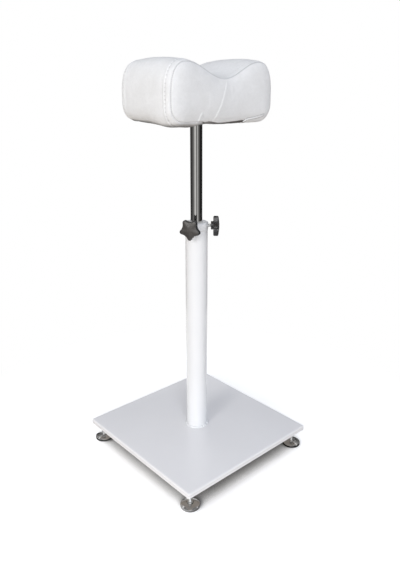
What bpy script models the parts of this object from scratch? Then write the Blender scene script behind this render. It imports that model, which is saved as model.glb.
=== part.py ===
"""Pedicure footrest: a square folded base on four levelling feet, a column, a chrome tube that slides and
turns in it under two star-knob clamp screws, and a saddle cushion. Metres, +Z up, floor at z = 0."""

import math

import bmesh
import bpy

# Gaps
CLEARANCE = 0.0003

# Base pan, folded from sheet
PAN_SIDE = 0.320
PAN_TOP = 0.045
PAN_SHEET = 0.003
PAN_LIP = 0.010
PAN_BEND = 0.0035

# Column and its weld
COLUMN_DIAMETER = 0.042
COLUMN_WALL = 0.002
COLUMN_HEIGHT = 0.4205
COLUMN_WELD_LEG = 0.0026

# Collar that closes the column
COLLAR_DIAMETER = 0.044
COLLAR_HEIGHT = 0.014
COLLAR_SPIGOT = 0.025
COLLAR_EDGE = 0.0024
COLLAR_LOWER_EDGE = 0.0007

# Chrome tube and the bush on its lower end
TUBE_DIAMETER = 0.022
TUBE_WALL = 0.0015
TUBE_LENGTH = 0.350
TUBE_SHOWN = 0.1771
BUSH_LENGTH = 0.0395
BUSH_FLOOR = 0.006

# Mounting flange, its weld and its wood screws
FLANGE_SIDE = 0.066
FLANGE_THICKNESS = 0.004
FLANGE_CORNER = 0.009
FLANGE_WELD_LEG = 0.0025
SCREW_SPACING = 0.048
SCREW_DIAMETER = 0.0044
SCREW_DEPTH = 0.010
SCREW_HEAD_DIAMETER = 0.0088
SCREW_POINT = 0.004

# Cushion: seam outline of the profile panels, then what swells beyond it
SEAM_LENGTH = 0.230
SEAM_WIDTH = 0.130
CUSHION_HEIGHT = 0.1038
CUSHION_FORWARD = 0.005  # how far in front of the tube the upholsterer set it
SADDLE_DEPTH = 0.025
HUMP_SPAN = 0.162
END_FLAT = 0.0068
TOP_CORNER_POWER = 2.4
BOTTOM_CORNER = 0.032
BOTTOM_CORNER_POWER = 2.6
TOP_CROWN = 0.008
SADDLE_CROWN = 0.004
END_CROWN = 0.005
BOTTOM_CROWN = 0.005
PANEL_CROWN = 0.007
PANEL_SPINE = 0.165
COVER_THICKNESS = 0.0012
COVER_FOLD = 0.020
FLANGE_MARGIN = 0.003
FOAM_GAP = 0.0006
BOARD_THICKNESS = 0.012
BOARD_MARGIN = 0.006
BOARD_CORNER = 0.015

# Clamp screws
CLAMP_DIRECTIONS = {"front": 210, "side": 316}
CLAMP_TURNS = {"front": 0, "side": -90}
CLAMP_STUD_DIAMETER = 0.006
CLAMP_STANDOFF = 0.005
CLAMP_STUD_IN_KNOB = 0.010
KNOB_DIAMETER = 0.040
KNOB_LOBES = 5
KNOB_LOBE_RADIUS = 0.0041
KNOB_WAIST_RADIUS = 0.0145
KNOB_THICKNESS = 0.0096
KNOB_EDGE = 0.0022
KNOB_DOME = 0.0016
KNOB_BOSS_DIAMETER = 0.016
KNOB_BOSS_LENGTH = 0.0045
KNOB_BOSS_CHAMFER = 0.0005

# Levelling feet
FOOT_INSET = 0.018
FOOT_DIAMETER = 0.036
FOOT_HUB_DIAMETER = 0.013
FOOT_HEIGHT = 0.0100
FOOT_CONE_TOP = 0.0074
FOOT_RIM = 0.0042
FOOT_WALL = 0.0016
FOOT_LIFT = 0.0006
FOOT_STUD_DIAMETER = 0.008
PAD_THICKNESS = 0.0027
NUT_FLATS = 0.013
NUT_HEIGHT = 0.0063
STUD_CHAMFER = 0.0008

# Facets
ROUND_STEPS = 48
FOOT_STEPS = 36
SMALL_STEPS = 32
HOLE_STEPS = 24
SHARP_ANGLE = math.radians(35)

# Places that follow from the sizes
PAN_UNDERSIDE = PAN_TOP - PAN_SHEET
COLUMN_BASE = PAN_TOP + CLEARANCE
COLUMN_TOP = PAN_TOP + COLUMN_HEIGHT
COLUMN_BORE = COLUMN_DIAMETER - 2 * COLUMN_WALL
COLLAR_FACE = COLUMN_TOP + CLEARANCE
COLLAR_TOP = COLLAR_FACE + COLLAR_HEIGHT
CLAMP_HEIGHT = COLLAR_FACE + COLLAR_HEIGHT / 2
TUBE_BORE = TUBE_DIAMETER + 2 * CLEARANCE
TUBE_TOP = COLLAR_TOP + TUBE_SHOWN
TUBE_BASE = TUBE_TOP - TUBE_LENGTH
BUSH_BASE = TUBE_BASE - CLEARANCE - BUSH_FLOOR
FLANGE_BASE = TUBE_TOP + CLEARANCE
FLANGE_TOP = FLANGE_BASE + FLANGE_THICKNESS
BOARD_BASE = FLANGE_TOP + CLEARANCE
BOARD_TOP = BOARD_BASE + BOARD_THICKNESS
BOARD_LENGTH = SEAM_LENGTH - 2 * BOTTOM_CORNER
BOARD_WIDTH = SEAM_WIDTH - 2 * (BOTTOM_CROWN + BOARD_MARGIN)
CUSHION_BASE = BOARD_BASE - CLEARANCE - COVER_THICKNESS
OPENING_LENGTH = BOARD_LENGTH - 2 * COVER_FOLD
OPENING_WIDTH = FLANGE_SIDE + 2 * (FLANGE_MARGIN + CUSHION_FORWARD)
TOP_CORNER_HEIGHT = CUSHION_HEIGHT - TOP_CROWN - BOTTOM_CROWN - BOTTOM_CORNER - END_FLAT
CUSHION_PLACE = (0, -CUSHION_FORWARD, 0)
FOOT_REACH = PAN_SIDE / 2 - FOOT_INSET

PARTS = bpy.data.collections.new("pedicure_footrest")
CUTTERS = bpy.data.collections.new("cutters")


def clear_scene():
    for old in list(bpy.data.objects):
        bpy.data.objects.remove(old)
    bpy.context.scene.collection.children.link(PARTS)
    bpy.context.scene.collection.children.link(CUTTERS)


def finish(name, colour, roughness, metallic):
    """A Principled material."""
    material = bpy.data.materials.new(name)
    material.use_nodes = True
    shader = material.node_tree.nodes["Principled BSDF"]
    shader.inputs["Base Color"].default_value = (*colour, 1)
    shader.inputs["Roughness"].default_value = roughness
    shader.inputs["Metallic"].default_value = metallic
    return material


WHITE_COAT = finish("white_powder_coat", (0.80, 0.80, 0.81), 0.42, 0.0)
CHROME = finish("chrome", (0.78, 0.77, 0.75), 0.10, 1.0)
ZINC = finish("zinc_plated_steel", (0.62, 0.63, 0.64), 0.32, 1.0)
BLACK_PLASTIC = finish("black_plastic", (0.045, 0.042, 0.040), 0.50, 0.0)
NYLON = finish("nylon", (0.70, 0.68, 0.62), 0.55, 0.0)
LEATHERETTE = finish("white_leatherette", (0.80, 0.80, 0.81), 0.50, 0.0)
FOAM = finish("foam", (0.82, 0.76, 0.55), 0.95, 0.0)
PLYWOOD = finish("plywood", (0.60, 0.44, 0.27), 0.70, 0.0)
RUBBER = finish("rubber", (0.03, 0.03, 0.03), 0.85, 0.0)


def axis_empty(name, location, rotation=(0, 0, 0), parent=None):
    """An empty on a joint's axis, which carries the pieces that move about it."""
    empty = bpy.data.objects.new(name, None)
    empty.location = location
    empty.rotation_euler = rotation
    empty.parent = parent
    PARTS.objects.link(empty)
    return empty


def part(name, mesh, material, location=(0, 0, 0), parent=None):
    obj = bpy.data.objects.new(name, mesh)
    obj.location = location
    obj.parent = parent
    mesh.materials.append(material)
    PARTS.objects.link(obj)
    return obj


def mesh_from(name, fill):
    """A mesh whose bmesh is filled by the given function, with flat faces kept crisp."""
    mesh = bpy.data.meshes.new(name)
    work = bmesh.new()
    fill(work)
    bmesh.ops.recalc_face_normals(work, faces=work.faces)
    work.to_mesh(mesh)
    work.free()
    mesh.shade_smooth()
    mesh.set_sharp_from_angle(angle=SHARP_ANGLE)
    return mesh


def cut(obj, mesh, location=(0, 0, 0), parent=None):
    """Cut a hidden solid out of an object."""
    cutter = bpy.data.objects.new(f"{obj.name}_cutter", mesh)
    cutter.location = location
    cutter.parent = parent
    cutter.hide_render = True
    cutter.display_type = "WIRE"
    CUTTERS.objects.link(cutter)
    boolean = obj.modifiers.new(cutter.name, "BOOLEAN")
    boolean.operation = "DIFFERENCE"
    boolean.solver = "EXACT"
    boolean.object = cutter
    return cutter


def cone_mesh(name, low_diameter, high_diameter, low, high, steps=SMALL_STEPS):
    """A cone frustum along local Z between two heights."""

    def fill(work):
        radii = {"radius1": low_diameter / 2, "radius2": high_diameter / 2}
        bmesh.ops.create_cone(work, cap_ends=True, segments=steps, depth=high - low, **radii)
        bmesh.ops.translate(work, verts=work.verts, vec=(0, 0, (low + high) / 2))

    return mesh_from(name, fill)


def cylinder_mesh(name, diameter, low, high, steps=SMALL_STEPS):
    return cone_mesh(name, diameter, diameter, low, high, steps)


def block_mesh(name, length, width, low, high, corner=0.0, top_edge=0.0, segments=4):
    """A box with rounded upright edges and, if asked for, a rounded top edge."""

    def fill(work):
        bmesh.ops.create_cube(work, size=1)
        bmesh.ops.scale(work, verts=work.verts, vec=(length, width, high - low))
        bmesh.ops.translate(work, verts=work.verts, vec=(0, 0, (low + high) / 2))
        middle = (low + high) / 2
        upright = [e for e in work.edges if (e.verts[0].co.z - middle) * (e.verts[1].co.z - middle) < 0]
        if top_edge:
            upright += [e for e in work.edges if min(v.co.z for v in e.verts) > middle]
        radius = top_edge or corner
        if radius:
            bmesh.ops.bevel(work, geom=upright, offset=radius, segments=segments, profile=0.5, affect="EDGES")

    return mesh_from(name, fill)


def loft(work, rings):
    """Faces from each ring of points to the next, and one over each end."""
    verts = [[work.verts.new(point) for point in ring] for ring in rings]
    for first, second in zip(verts, verts[1:]):
        corners = list(zip(first, second))
        for (a, b), (c, d) in zip(corners, corners[1:] + corners[:1]):
            work.faces.new((a, c, d, b))
    work.faces.new(verts[0])
    work.faces.new(verts[-1])


def arc(centre_x, centre_z, radius, start, end, count):
    """Points on an arc, from one angle in degrees to another."""
    angles = [math.radians(start + (end - start) * i / count) for i in range(count + 1)]
    return [(centre_x + radius * math.cos(a), centre_z + radius * math.sin(a)) for a in angles]


def turned(name, profile, material, location=(0, 0, 0), parent=None, hollow=False, steps=ROUND_STEPS):
    """A profile of (radius, height) points, running down its outer side, turned about local Z.
    A hollow profile is a closed loop; a solid one starts and ends on the axis."""
    mesh = bpy.data.meshes.new(name)
    edges = [(i, i + 1) for i in range(len(profile) - 1)]
    if hollow:
        edges.append((len(profile) - 1, 0))
    mesh.from_pydata([(radius, 0, height) for radius, height in profile], edges, [])
    obj = part(name, mesh, material, location, parent)
    screw = obj.modifiers.new("turn", "SCREW")
    screw.axis = "Z"
    screw.angle = 2 * math.pi
    screw.steps = steps
    screw.render_steps = steps
    screw.use_merge_vertices = True
    screw.merge_threshold = 0.00001
    return obj


def tube_profile(outer, bore, low, high):
    return [(outer / 2, high), (outer / 2, low), (bore / 2, low), (bore / 2, high)]


def weld_profile(radius, face, leg, upwards):
    """A fillet weld in the corner between a tube and a face, bulging a little."""
    bulge = arc(0, 0, leg, 90, 0, 6)
    if upwards:
        hypotenuse = [(radius + x, face + z) for x, z in bulge]
        return [*hypotenuse, (radius, face)]
    hypotenuse = [(radius + x, face - z) for x, z in reversed(bulge)]
    return [*hypotenuse, (radius, face)]


def make_base():
    """The folded pan, with its inside cut out from below."""
    low = PAN_TOP - PAN_LIP
    mesh = block_mesh("base_pan", PAN_SIDE, PAN_SIDE, low, PAN_TOP, top_edge=PAN_BEND)
    pan = part("base_pan", mesh, WHITE_COAT)
    inside = PAN_SIDE - 2 * PAN_SHEET
    cut(pan, block_mesh("pan_inside", inside, inside, low - PAN_LIP, PAN_UNDERSIDE, corner=PAN_BEND))


def make_column():
    tube = tube_profile(COLUMN_DIAMETER, COLUMN_BORE, COLUMN_BASE, COLUMN_TOP)
    turned("column_tube", tube, WHITE_COAT, hollow=True)
    weld_radius = COLUMN_DIAMETER / 2 + CLEARANCE
    weld = weld_profile(weld_radius, COLUMN_BASE, COLUMN_WELD_LEG, upwards=True)
    turned("column_weld", weld, WHITE_COAT, hollow=True)


def make_collar(clamps):
    """The collar's head sits on the column, its spigot in it, and its bore guides the chrome tube."""
    outer = COLLAR_DIAMETER / 2
    spigot = COLUMN_BORE / 2 - CLEARANCE
    bore = TUBE_BORE / 2
    low = COLLAR_FACE - COLLAR_SPIGOT
    profile = [(bore, COLLAR_TOP)]
    profile += arc(outer - COLLAR_EDGE, COLLAR_TOP - COLLAR_EDGE, COLLAR_EDGE, 90, 0, 4)
    profile += arc(outer - COLLAR_LOWER_EDGE, COLLAR_FACE + COLLAR_LOWER_EDGE, COLLAR_LOWER_EDGE, 0, -90, 2)
    profile += [(spigot, COLLAR_FACE), (spigot, low), (bore, low)]
    collar = turned("column_collar", profile, WHITE_COAT, hollow=True)
    hole = CLAMP_STUD_DIAMETER + 2 * CLEARANCE
    for clamp in clamps.values():
        cut(collar, cylinder_mesh("clamp_hole", hole, bore / 2, COLLAR_DIAMETER, HOLE_STEPS), parent=clamp)


def make_post(post, seat):
    """The bush slides in the column; the chrome tube stands in it and turns with the seat."""
    outer = COLUMN_BORE / 2 - CLEARANCE
    inner = TUBE_BORE / 2
    floor = TUBE_BASE - CLEARANCE
    top = BUSH_BASE + BUSH_LENGTH
    cup = [(0, floor), (inner, floor), (inner, top), (outer, top), (outer, BUSH_BASE), (0, BUSH_BASE)]
    turned("guide_bush", cup, NYLON, parent=post)
    bore = TUBE_DIAMETER - 2 * TUBE_WALL
    tube = tube_profile(TUBE_DIAMETER, bore, TUBE_BASE, TUBE_TOP)
    turned("inner_tube", tube, CHROME, parent=seat, hollow=True)


def screw_places():
    half = SCREW_SPACING / 2
    return [(x, y) for x in (-half, half) for y in (-half, half)]


def make_flange(seat):
    mesh = block_mesh("seat_flange", FLANGE_SIDE, FLANGE_SIDE, FLANGE_BASE, FLANGE_TOP, corner=FLANGE_CORNER)
    flange = part("seat_flange", mesh, ZINC, parent=seat)
    weld_radius = TUBE_DIAMETER / 2 + CLEARANCE
    weld = weld_profile(weld_radius, FLANGE_BASE - CLEARANCE, FLANGE_WELD_LEG, upwards=False)
    turned("flange_weld", weld, ZINC, parent=seat, hollow=True)
    hole = SCREW_DIAMETER + 2 * CLEARANCE
    head = SCREW_HEAD_DIAMETER / 2
    shank = SCREW_DIAMETER / 2
    tip = BOARD_BASE + SCREW_DEPTH
    profile = [(0, tip), (shank, tip - SCREW_POINT), (shank, FLANGE_BASE + head - shank)]
    profile += [(head, FLANGE_BASE), (0, FLANGE_BASE)]
    mouth = SCREW_HEAD_DIAMETER + 6 * CLEARANCE
    sink_low = FLANGE_BASE - CLEARANCE
    sink_high = sink_low + (mouth - hole) / 2
    for number, (x, y) in enumerate(screw_places(), start=1):
        cut(flange, cylinder_mesh("screw_hole", hole, FLANGE_BASE - hole, FLANGE_TOP + hole), (x, y, 0), seat)
        cut(flange, cone_mesh("countersink", mouth, hole, sink_low, sink_high), (x, y, 0), seat)
        turned(f"flange_screw_{number}", profile, ZINC, (x, y, 0), seat, steps=SMALL_STEPS)


def make_board(seat):
    mesh = block_mesh("cushion_board", BOARD_LENGTH, BOARD_WIDTH, BOARD_BASE, BOARD_TOP, corner=BOARD_CORNER)
    board = part("cushion_board", mesh, PLYWOOD, CUSHION_PLACE, seat)
    pilot = SCREW_DIAMETER + 2 * CLEARANCE
    for x, y in screw_places():
        pilot_mesh = cylinder_mesh("pilot", pilot, BOARD_BASE - pilot, BOARD_BASE + SCREW_DEPTH + CLEARANCE)
        cut(board, pilot_mesh, (x, y, 0), seat)


def superellipse(centre_x, centre_z, radius_x, radius_z, start, end, count, power):
    """Points round a squared-off quarter corner, without its first point."""
    points = []
    for step in range(1, count + 1):
        angle = math.radians(start + (end - start) * step / count)
        across = math.copysign(abs(math.cos(angle)) ** (2 / power), math.cos(angle))
        up = math.copysign(abs(math.sin(angle)) ** (2 / power), math.sin(angle))
        points.append((centre_x + radius_x * across, centre_z + radius_z * up))
    return points


def saddle_outline(y, inset):
    """The cushion's outline across X and Z at a distance y from its middle: a flat bottom, upright ends and
    two humps with a dip between them. It swells from the seams towards the middle."""
    away = min(1.0, abs(y) / (SEAM_WIDTH / 2 - inset))
    swell = 1 - away**3
    bottom_round = max(0.0, 1 - (SEAM_WIDTH / 2 - inset - abs(y)) / BOTTOM_CROWN)
    bottom_swell = math.sqrt(max(0.0, 1 - bottom_round**2))
    end = SEAM_LENGTH / 2 + END_CROWN * swell - inset
    top = CUSHION_BASE + CUSHION_HEIGHT - TOP_CROWN * (1 - swell) - inset
    dip = SADDLE_DEPTH + (TOP_CROWN - SADDLE_CROWN) * swell
    bottom = CUSHION_BASE + BOTTOM_CROWN * (1 - bottom_swell) + inset
    hump = HUMP_SPAN / 2
    flat = SEAM_LENGTH / 2 + END_CROWN * swell - BOTTOM_CORNER
    half = [(0, bottom), (OPENING_LENGTH / 4, bottom), (OPENING_LENGTH / 2, bottom), (flat, bottom)]
    corner = BOTTOM_CORNER - inset
    half += superellipse(flat, bottom + corner, corner, corner, -90, 0, 5, BOTTOM_CORNER_POWER)
    half.append((end, top - TOP_CORNER_HEIGHT + inset))
    tall = TOP_CORNER_HEIGHT - inset
    half += superellipse(hump, top - tall, end - hump, tall, 0, 90, 6, TOP_CORNER_POWER)
    for step in (1, 2, 3, 4, 5):
        x = hump * (1 - step / 5)
        half.append((x, top - dip * (1 + math.cos(math.pi * x / hump)) / 2))
    other = [(-x, z) for x, z in reversed(half[1:-1])]
    return half + other


def cushion_mesh(name, inset, open_below):
    """The cushion's skin, drawn in by an inset: outlines lofted across the band, with a panel at each side that
    is crowned along a spine. An open skin has a hole in its underside, where the flange is screwed on."""

    def fill(work):
        seam = SEAM_WIDTH / 2 - inset
        stations = [seam, seam - BOTTOM_CROWN / 3, seam - BOTTOM_CROWN, OPENING_WIDTH / 2]
        stations += [0, *(-y for y in reversed(stations))]
        middle = CUSHION_BASE + (CUSHION_HEIGHT - SADDLE_DEPTH) / 2
        spine = PANEL_SPINE / SEAM_LENGTH

        def panel_ring(side, share):
            crown = PANEL_CROWN * (1 - share**3)
            along = spine + (1 - spine) * share
            outline = saddle_outline(seam, inset)
            return [(x * along, side * (seam + crown), middle + (z - middle) * share) for x, z in outline]

        shares = (0.25, 0.62, 0.87)
        rings = [panel_ring(1, share) for share in shares]
        rings += [[(x, y, z) for x, z in saddle_outline(y, inset)] for y in stations]
        rings += [panel_ring(-1, share) for share in reversed(shares)]
        loft(work, rings)
        if open_below:
            floor = [f for f in work.faces if f.calc_center_median().z < CUSHION_BASE + CLEARANCE]
            reach = (OPENING_LENGTH / 2, OPENING_WIDTH / 2)
            hole = [f for f in floor if all(abs(c) < r for c, r in zip(f.calc_center_median(), reach))]
            bmesh.ops.delete(work, geom=hole, context="FACES")

    return mesh_from(name, fill)


def make_cushion(seat):
    """Foam with a pocket for the board, and the cover sewn round both."""
    foam_mesh = cushion_mesh("foam_core", COVER_THICKNESS + FOAM_GAP, False)
    foam = part("foam_core", foam_mesh, FOAM, CUSHION_PLACE, seat)
    length = BOARD_LENGTH + 2 * CLEARANCE
    width = BOARD_WIDTH + 2 * CLEARANCE
    low = CUSHION_BASE - BOARD_THICKNESS
    high = BOARD_TOP + CLEARANCE
    pocket = block_mesh("board_pocket", length, width, low, high, corner=BOARD_CORNER)
    cut(foam, pocket, CUSHION_PLACE, seat)
    cover = part("cushion_cover", cushion_mesh("cushion_cover", 0.0, True), LEATHERETTE, CUSHION_PLACE, seat)
    skin = cover.modifiers.new("skin", "SOLIDIFY")
    skin.thickness = COVER_THICKNESS
    skin.offset = -1
    skin.use_even_offset = True


def star_outline():
    """A knob's outline: round lobes joined by hollow waists, as arcs that meet without a corner."""
    half_pitch = math.pi / KNOB_LOBES
    lobe = KNOB_LOBE_RADIUS
    centre = KNOB_DIAMETER / 2 - lobe
    waist = KNOB_WAIST_RADIUS
    along = centre * math.cos(half_pitch)
    hollow = (centre**2 + waist**2 - 2 * along * waist - lobe**2) / (2 * (lobe + along - waist))
    far = waist + hollow
    rise = math.degrees(math.atan2(far * math.sin(half_pitch), far * math.cos(half_pitch) - centre))
    sector = arc(centre, 0, lobe, -rise, rise, 5)
    turn = math.degrees(half_pitch)
    waist_x = far * math.cos(half_pitch)
    waist_y = far * math.sin(half_pitch)
    sector += arc(waist_x, waist_y, hollow, 180 + rise, 180 + 2 * turn - rise, 5)[1:-1]
    points = []
    for number in range(KNOB_LOBES):
        angle = 2 * half_pitch * number
        cosine = math.cos(angle)
        sine = math.sin(angle)
        points += [(x * cosine - y * sine, x * sine + y * cosine) for x, y in sector]
    return points


def knob_mesh(name):
    """A star knob along local Z, from the end of its boss to the crown of its face."""
    star = star_outline()
    boss = KNOB_BOSS_DIAMETER / 2
    back = KNOB_BOSS_LENGTH
    face = back + KNOB_THICKNESS
    reach = KNOB_DIAMETER / 2

    def circle(radius, height):
        return [(radius * x / math.hypot(x, y), radius * y / math.hypot(x, y), height) for x, y in star]

    def drawn_in(depth, height):
        return [(x * (1 - depth / reach), y * (1 - depth / reach), height) for x, y in star]

    rings = [circle(boss - KNOB_BOSS_CHAMFER, 0), circle(boss, KNOB_BOSS_CHAMFER), circle(boss, back)]
    edges = arc(0, back + KNOB_EDGE, KNOB_EDGE, -90, 0, 3) + arc(0, face - KNOB_EDGE, KNOB_EDGE, 0, 90, 3)
    rings += [drawn_in(KNOB_EDGE - out, height) for out, height in edges]
    flat = reach - KNOB_EDGE
    domed = flat / 2
    rise = KNOB_DOME * (1 - (domed / flat) ** 2)
    rings += [drawn_in(reach - domed, face + rise), circle(boss / 2, face + KNOB_DOME)]

    return mesh_from(name, lambda work: loft(work, rings))


def stud_profile(diameter, low, high):
    """A threaded stud's outer size, with a chamfer at each end."""
    radius = diameter / 2
    chamfer = STUD_CHAMFER
    ends = [(0, high), (radius - chamfer, high), (radius, high - chamfer)]
    return [*ends, (radius, low + chamfer), (radius - chamfer, low), (0, low)]


def make_clamp(name, clamp):
    """A star knob moulded on a stud that screws through the collar onto the chrome tube."""
    tip = TUBE_DIAMETER / 2 + CLEARANCE
    boss = COLLAR_DIAMETER / 2 + CLAMP_STANDOFF
    buried = boss + CLAMP_STUD_IN_KNOB
    stud = stud_profile(CLAMP_STUD_DIAMETER, tip, buried)
    turned(f"clamp_stud_{name}", stud, ZINC, parent=clamp, steps=SMALL_STEPS)
    knob = part(f"clamp_knob_{name}", knob_mesh(f"clamp_knob_{name}"), BLACK_PLASTIC, (0, 0, boss), clamp)
    knob.rotation_euler.z = math.radians(CLAMP_TURNS[name])
    hole = cylinder_mesh("stud_hole", CLAMP_STUD_DIAMETER + 2 * CLEARANCE, tip, buried + CLEARANCE)
    cut(knob, hole, parent=clamp)


def disc_profile():
    """A pressed foot: a hub, a low cone, an upright rim, and a recess below for the pad."""
    hole = FOOT_STUD_DIAMETER / 2 + CLEARANCE
    hub = FOOT_HUB_DIAMETER / 2
    rim = FOOT_DIAMETER / 2
    edge = FOOT_WALL / 2
    shoulder = FOOT_LIFT + FOOT_RIM
    recess = rim - FOOT_WALL
    ceiling = PAD_THICKNESS + CLEARANCE
    profile = [(hole, FOOT_HEIGHT), (hub - edge, FOOT_HEIGHT), (hub, FOOT_HEIGHT - edge)]
    profile += [(hub, FOOT_CONE_TOP), *arc(rim - edge, shoulder - edge, edge, 60, 0, 3)]
    profile += [(rim, FOOT_LIFT), (recess, FOOT_LIFT), (recess, ceiling), (hole, ceiling)]
    return profile


def make_foot(number, foot):
    """A levelling foot: the stud screws into a nut under the pan, and the disc turns it."""
    top = PAN_UNDERSIDE - CLEARANCE
    bottom = PAD_THICKNESS + CLEARANCE
    nut_mesh = cylinder_mesh("foot_nut", NUT_FLATS / math.cos(math.pi / 6), top - NUT_HEIGHT, top, steps=6)
    nut = part(f"foot_nut_{number}", nut_mesh, ZINC, foot.location)
    thread = FOOT_STUD_DIAMETER + 2 * CLEARANCE
    cut(nut, cylinder_mesh("nut_thread", thread, top - 2 * NUT_HEIGHT, top + NUT_HEIGHT), foot.location)
    stud = stud_profile(FOOT_STUD_DIAMETER, bottom, top)
    turned(f"foot_stud_{number}", stud, ZINC, parent=foot, steps=SMALL_STEPS)
    turned(f"foot_disc_{number}", disc_profile(), CHROME, parent=foot, hollow=True, steps=FOOT_STEPS)
    radius = FOOT_DIAMETER / 2 - FOOT_WALL - CLEARANCE
    pad = [(0, PAD_THICKNESS), (radius, PAD_THICKNESS), (radius, 0), (0, 0)]
    turned(f"foot_pad_{number}", pad, RUBBER, parent=foot, steps=SMALL_STEPS)


def main():
    clear_scene()
    post = axis_empty("post_axis", (0, 0, 0))
    seat = axis_empty("seat_axis", (0, 0, 0), parent=post)
    clamps = {
        name: axis_empty(f"clamp_axis_{name}", (0, 0, CLAMP_HEIGHT), (0, math.pi / 2, math.radians(direction)))
        for name, direction in CLAMP_DIRECTIONS.items()
    }
    corners = [(x, y) for x in (-FOOT_REACH, FOOT_REACH) for y in (-FOOT_REACH, FOOT_REACH)]
    make_base()
    make_column()
    make_collar(clamps)
    make_post(post, seat)
    make_flange(seat)
    make_board(seat)
    make_cushion(seat)
    for name, clamp in clamps.items():
        make_clamp(name, clamp)
    for number, (x, y) in enumerate(corners, start=1):
        make_foot(number, axis_empty(f"foot_axis_{number}", (x, y, 0)))


main()
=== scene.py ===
"""Pedicure footrest: the looks of the part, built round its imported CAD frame."""

import math

import bmesh
import bpy
import numpy as np
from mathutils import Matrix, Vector, noise


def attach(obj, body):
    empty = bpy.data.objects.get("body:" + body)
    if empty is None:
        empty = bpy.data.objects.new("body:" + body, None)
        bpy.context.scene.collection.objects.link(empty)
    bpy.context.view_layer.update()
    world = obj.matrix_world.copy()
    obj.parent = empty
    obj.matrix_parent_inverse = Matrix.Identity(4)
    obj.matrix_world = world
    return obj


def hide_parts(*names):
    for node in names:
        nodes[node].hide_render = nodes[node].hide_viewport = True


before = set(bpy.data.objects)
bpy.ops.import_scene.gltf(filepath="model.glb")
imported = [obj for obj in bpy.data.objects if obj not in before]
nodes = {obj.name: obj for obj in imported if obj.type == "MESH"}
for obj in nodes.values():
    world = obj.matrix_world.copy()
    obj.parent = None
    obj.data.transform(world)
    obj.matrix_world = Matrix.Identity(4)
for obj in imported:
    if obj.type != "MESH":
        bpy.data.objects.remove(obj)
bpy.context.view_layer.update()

# Sizes shared with the CAD source, in metres
SEAM_MIDDLE = -0.005  # the cushion sits this far in front of the tube
SEAM_HALF = 0.065  # half the way between its seams
HUMP = 0.081  # from the middle to the top of a hump
BOTTOM_CORNER = 0.032
OPENING_X = 0.063  # half the opening in the cover, below
OPENING_Y = 0.041
BOARD_BASE = 0.6615
BOARD_TOP = 0.6735
BOARD_X = 0.0833
BOARD_Y = 0.0543
PAN_TOP = 0.045
COLUMN_RADIUS = 0.021
CLAMP_HEIGHT = 0.4728
FOOT_REACH = 0.142  # from the middle to a foot, in X and in Y
CLAMP_THREAD = (0.001, 0.0005)  # pitch and depth
FOOT_THREAD = (0.00125, 0.0006)
KNOB_TURNS = {"front": 210, "side": 316}  # degrees from +X

# Seam and stitching of the cover
STITCH_ROW = 0.010  # from the seam, on the band
STITCH_PITCH = 0.0058
ALLOWANCE = 0.0165  # width of the turned-in edge
HOLE_PITCH = 0.0031  # of the needle holes along the seam, dots of painted shade

# Folds in the panels: from one (x, z) to another, half the width of the rise, height
CREASE = ((0.0045, 0.7295), (-0.0262, 0.6628))
LEFT_CREASE = ((-0.0535, 0.680), (-0.0605, 0.661))
NEAR_FOLDS = [
    (*CREASE, 0.0014, 0.0005),
    (*LEFT_CREASE, 0.0014, 0.0008),
    ((-0.038, 0.712), (-0.041, 0.678), 0.0014, 0.0002),
    ((-0.031, 0.716), (-0.036, 0.690), 0.0014, 0.00015),
    ((0.012, 0.727), (0.009, 0.694), 0.0016, 0.00015),
    ((0.021, 0.729), (0.020, 0.700), 0.0016, 0.00015),
    ((-0.012, 0.727), (-0.018, 0.694), 0.0016, 0.00015),
]
FAR_FOLDS = [
    ((-0.004, 0.7270), (0.0210, 0.6690), 0.0012, 0.0007),
    ((0.050, 0.683), (0.058, 0.664), 0.0014, 0.0009),
    ((0.014, 0.727), (0.012, 0.700), 0.0014, 0.0003),
    ((-0.020, 0.728), (-0.022, 0.702), 0.0014, 0.0003),
]

# Finer folds in the near panel's material: from, to, half the width of the rise, share of the height
SHARP_FOLDS = [
    (*CREASE, 0.0006, 1.0),
    (*LEFT_CREASE, 0.0008, 1.0),
    ((-0.0380, 0.713), (-0.0405, 0.684), 0.0007, 0.4),
    ((-0.0335, 0.717), (-0.0375, 0.694), 0.0007, 0.4),
    ((0.014, 0.725), (0.011, 0.700), 0.0007, 0.4),
]

# Where the cover is folded under at the near right corner, as (x, z)
CORNER_FOLD = np.array([
    (0.0465, 0.6578), (0.0498, 0.6606), (0.0545, 0.6636), (0.064, 0.6650), (0.077, 0.6666), (0.092, 0.6698),
])


# Materials

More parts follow.
